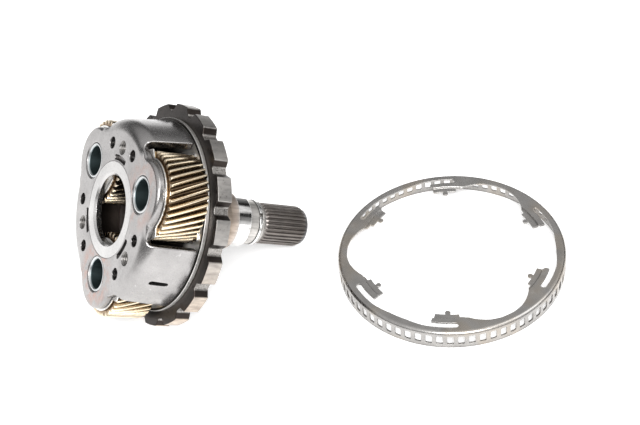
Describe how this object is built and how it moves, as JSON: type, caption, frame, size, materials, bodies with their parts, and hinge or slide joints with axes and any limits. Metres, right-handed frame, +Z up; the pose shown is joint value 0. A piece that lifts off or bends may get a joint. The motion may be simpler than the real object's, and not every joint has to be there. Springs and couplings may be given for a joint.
{
  "type": "planetary gear set carrier",
  "caption": "Planet carrier with helical pinions on hollow pins, a parking gear and a splined output shaft, with a loose slotted sensor ring.",
  "frame": {"origin": "on the table, under the middle of the assembly's bounding box", "axes": "+Z up from the table, +X the way the output shaft points, which is also the longest side"},
  "size_m": [0.3434, 0.2496, 0.1468],
  "materials": {
    "carrier_steel": "satin, phosphated and rubbed bright on its edges",
    "hub_steel": "fine turned",
    "rear_plate_steel": "dark oiled steel with bright turned rim",
    "park_gear_steel": "dark oxide, lands worn to a tan sheen",
    "shaft_steel": "ground journal, dark splines",
    "bush_bronze": "bronze, satin",
    "spring_steel": "bright",
    "pin_steel": "hardened, blue-grey",
    "washer_steel": "bright",
    "washer_bronze": "bronze, oily",
    "pinion_steel": "polished tooth flanks with a warm oil film",
    "needle_steel": "polished",
    "ring_steel": "satin zinc grey"
  },
  "bodies": {
    "carrier": {"carrier_cage": "carrier_steel", "hub_ring": "hub_steel", "rear_plate": "rear_plate_steel", "park_gear": "park_gear_steel", "output_shaft": "shaft_steel", "pilot_bush": "bush_bronze", "shaft_snap_ring": "spring_steel", "pinion_pin_1": "pin_steel", "pinion_pin_2": "pin_steel", "pinion_pin_3": "pin_steel", "front_steel_washer_1": "washer_steel", "front_steel_washer_2": "washer_steel", "front_steel_washer_3": "washer_steel", "front_bronze_washer_1": "washer_bronze", "front_bronze_washer_2": "washer_bronze", "front_bronze_washer_3": "washer_bronze", "rear_bronze_washer_1": "washer_bronze", "rear_bronze_washer_2": "washer_bronze", "rear_bronze_washer_3": "washer_bronze", "rear_steel_washer_1": "washer_steel", "rear_steel_washer_2": "washer_steel", "rear_steel_washer_3": "washer_steel"},
    "pinion_1": {"pinion_1": "pinion_steel"},
    "pinion_2": {"pinion_2": "pinion_steel"},
    "pinion_3": {"pinion_3": "pinion_steel"},
    "needles_1": {"needle_rollers_1": "needle_steel"},
    "needles_2": {"needle_rollers_2": "needle_steel"},
    "needles_3": {"needle_rollers_3": "needle_steel"},
    "sensor_ring": {"sensor_ring": "ring_steel"}
  },
  "joints": [
    {"name": "pinion_1_spin", "type": "hinge", "parent": "carrier", "child": "pinion_1", "pos_m": [-0.0979, 0.01213, 0.11345], "axis": [0.8514, 0, -0.5246], "continuous": true},
    {"name": "pinion_2_spin", "type": "hinge", "parent": "carrier", "child": "pinion_2", "pos_m": [-0.14031, 0.03079, 0.04462], "axis": [0.8514, 0, -0.5246], "continuous": true},
    {"name": "pinion_3_spin", "type": "hinge", "parent": "carrier", "child": "pinion_3", "pos_m": [-0.11062, 0.09147, 0.0928], "axis": [0.8514, 0, -0.5246], "continuous": true},
    {"name": "needles_1_orbit", "type": "hinge", "parent": "carrier", "child": "needles_1", "pos_m": [-0.0979, 0.01213, 0.11345], "axis": [0.8514, 0, -0.5246], "continuous": true},
    {"name": "needles_2_orbit", "type": "hinge", "parent": "carrier", "child": "needles_2", "pos_m": [-0.14031, 0.03079, 0.04462], "axis": [0.8514, 0, -0.5246], "continuous": true},
    {"name": "needles_3_orbit", "type": "hinge", "parent": "carrier", "child": "needles_3", "pos_m": [-0.11062, 0.09147, 0.0928], "axis": [0.8514, 0, -0.5246], "continuous": true},
    {"name": "sensor_ring_lift", "type": "slide", "parent": "carrier", "child": "sensor_ring", "axis": [0, 0, 1], "range_m": [0, 0.12]}
  ],
  "couplings": [
    {"joint": "needles_1_orbit", "follows": "pinion_1_spin", "ratio": 0.55338},
    {"joint": "needles_2_orbit", "follows": "pinion_2_spin", "ratio": 0.55338},
    {"joint": "needles_3_orbit", "follows": "pinion_3_spin", "ratio": 0.55338}
  ]
}
